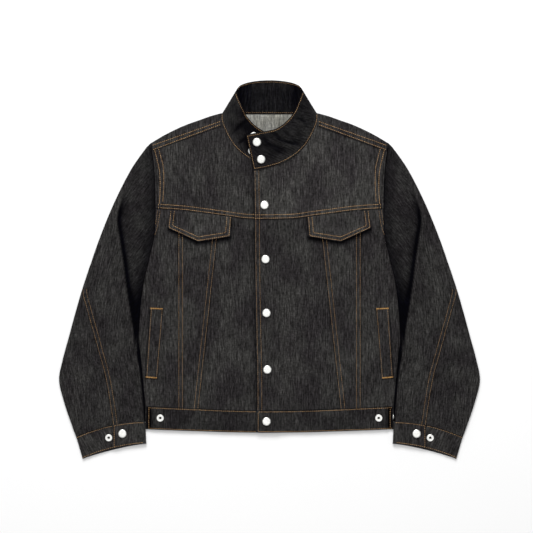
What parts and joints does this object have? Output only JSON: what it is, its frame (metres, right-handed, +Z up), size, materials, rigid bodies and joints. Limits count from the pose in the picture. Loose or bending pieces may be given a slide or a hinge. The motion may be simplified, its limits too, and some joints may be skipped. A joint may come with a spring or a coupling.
{
  "type": "denim jacket laid flat",
  "caption": "Dark denim jacket with a stand collar, chest flaps, hand pocket welts and snap front, lying face up with its sleeves beside it.",
  "frame": {"origin": "on the surface it lies on, under the middle of the jacket's length and width", "axes": "+X towards the jacket's left sleeve, +Y from hem to collar, +Z up out of the front"},
  "size_m": [0.8416, 0.754, 0.0218],
  "materials": {
    "denim": "black raw denim, matt twill with grey slubs",
    "snap_metal": "polished nickel plated snap caps"
  },
  "bodies": {
    "root": {"back_panel": "denim", "back_waistband": "denim", "front_centre_left": "denim", "front_middle_left": "denim", "front_side_left": "denim", "front_yoke_left": "denim", "pocket_flap_left": "denim", "pocket_welt_left": "denim", "front_waistband_left": "denim", "top_sleeve_left": "denim", "under_sleeve_left": "denim", "cuff_left": "denim", "front_centre_right": "denim", "front_middle_right": "denim", "front_side_right": "denim", "front_yoke_right": "denim", "pocket_flap_right": "denim", "pocket_welt_right": "denim", "front_waistband_right": "denim", "top_sleeve_right": "denim", "under_sleeve_right": "denim", "cuff_right": "denim", "collar": "denim", "front_snap_1": "snap_metal", "front_snap_2": "snap_metal", "front_snap_3": "snap_metal", "front_snap_4": "snap_metal", "waist_snap": "snap_metal", "collar_snap_1": "snap_metal", "collar_snap_2": "snap_metal", "collar_stud_1": "snap_metal", "collar_stud_2": "snap_metal", "waist_ring_left": "snap_metal", "cuff_snap_left": "snap_metal", "cuff_ring_left": "snap_metal", "waist_ring_right": "snap_metal", "cuff_snap_right": "snap_metal", "cuff_ring_right": "snap_metal", "side_snap": "snap_metal"}
  },
  "joints": []
}
